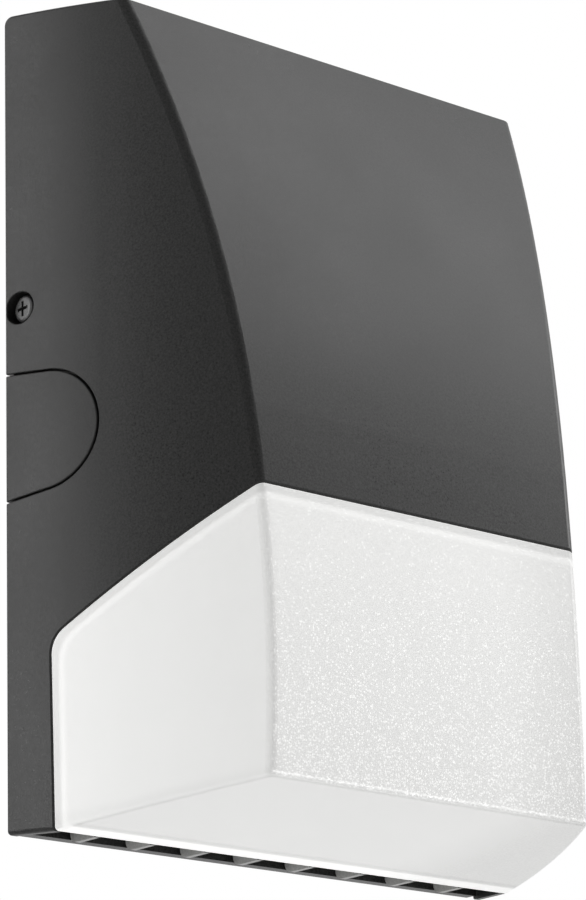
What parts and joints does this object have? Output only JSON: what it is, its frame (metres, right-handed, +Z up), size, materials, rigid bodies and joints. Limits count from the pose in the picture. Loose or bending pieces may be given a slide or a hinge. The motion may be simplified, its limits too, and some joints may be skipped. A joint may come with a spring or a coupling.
{
  "type": "wall pack light",
  "caption": "Wall pack light: curved die-cast housing hung on a wall plate, frosted wrap-round lens, side conduit covers, side locking screws, driver and LED board inside.",
  "frame": {"origin": "on the wall plane, at the middle of the wall plate and at mid height of the housing", "axes": "+Y into the wall, +Z up, +X to the right seen from the front; the light faces -Y"},
  "size_m": [0.1774, 0.0776, 0.2406],
  "materials": {
    "housing_coat": "fine-texture matt powder coat, charcoal grey, on die-cast aluminium",
    "plate_coat": "fine-texture matt powder coat, charcoal grey",
    "lens_frosted": "frosted white polycarbonate, finely stippled",
    "foam": "closed-cell foam",
    "silicone": "silicone rubber",
    "black_rubber": "moulded rubber",
    "zinc_steel": "zinc-plated steel",
    "dark_screw_steel": "blackened steel",
    "green_screw_steel": "green passivated steel",
    "white_reflector": "matt white reflector plastic",
    "board_white": "white solder mask on an aluminium board",
    "chip_yellow": "phosphor-filled silicone",
    "thermal_grey": "thermal gap pad",
    "connector_white": "moulded nylon",
    "driver_aluminium": "extruded, satin anodised",
    "black_plastic": "moulded nylon",
    "terminal_grey": "moulded nylon",
    "brass_screw": "nickel-free brass",
    "lead_black": "PVC insulation",
    "lead_white": "PVC insulation",
    "lead_green": "PVC insulation",
    "lead_red": "PVC insulation"
  },
  "bodies": {
    "wall_side": {"wall_plate": "plate_coat", "wall_gasket": "foam", "plate_ground_screw": "green_screw_steel"},
    "housing": {"housing": "housing_coat", "hanger_pins": "zinc_steel", "lens": "lens_frosted", "lens_gasket": "silicone", "lens_screws": "zinc_steel", "thermal_pad": "thermal_grey", "led_board": "board_white", "led_chips": "chip_yellow", "board_screws": "zinc_steel", "reflector": "white_reflector", "led_connector": "connector_white", "chamber_grommet": "black_rubber", "breather_vent": "black_plastic", "driver_plate": "zinc_steel", "driver_plate_screws": "zinc_steel", "driver_case": "driver_aluminium", "driver_end_caps": "black_plastic", "driver_screws": "zinc_steel", "surge_protector": "black_plastic", "terminal_block": "terminal_grey", "terminal_screws": "brass_screw", "lead_grommet": "black_rubber", "line_lead": "lead_black", "neutral_lead": "lead_white", "ground_lead": "lead_green", "led_positive_lead": "lead_red", "led_negative_lead": "lead_black", "lead_clip": "connector_white", "housing_ground_screw": "green_screw_steel", "locking_nuts": "zinc_steel"},
    "left_screw": {"left_side_screw": "dark_screw_steel"},
    "right_screw": {"right_side_screw": "dark_screw_steel"},
    "left_cover": {"left_conduit_cover": "housing_coat"},
    "right_cover": {"right_conduit_cover": "housing_coat"}
  },
  "joints": [
    {"name": "housing_tilt", "type": "hinge", "parent": "wall_side", "child": "housing", "pos_m": [0, -0.004, 0.114], "axis": [-1, 0, 0], "range_deg": [0, 14]},
    {"name": "left_screw_out", "type": "slide", "parent": "housing", "child": "left_screw", "axis": [-1, 0, 0], "range_m": [0, 0.003]},
    {"name": "right_screw_out", "type": "slide", "parent": "housing", "child": "right_screw", "axis": [1, 0, 0], "range_m": [0, 0.003]},
    {"name": "left_cover_slide", "type": "slide", "parent": "housing", "child": "left_cover", "axis": [0, 1, 0], "range_m": [0, 0.0315]},
    {"name": "right_cover_slide", "type": "slide", "parent": "housing", "child": "right_cover", "axis": [0, 1, 0], "range_m": [0, 0.0315]}
  ]
}
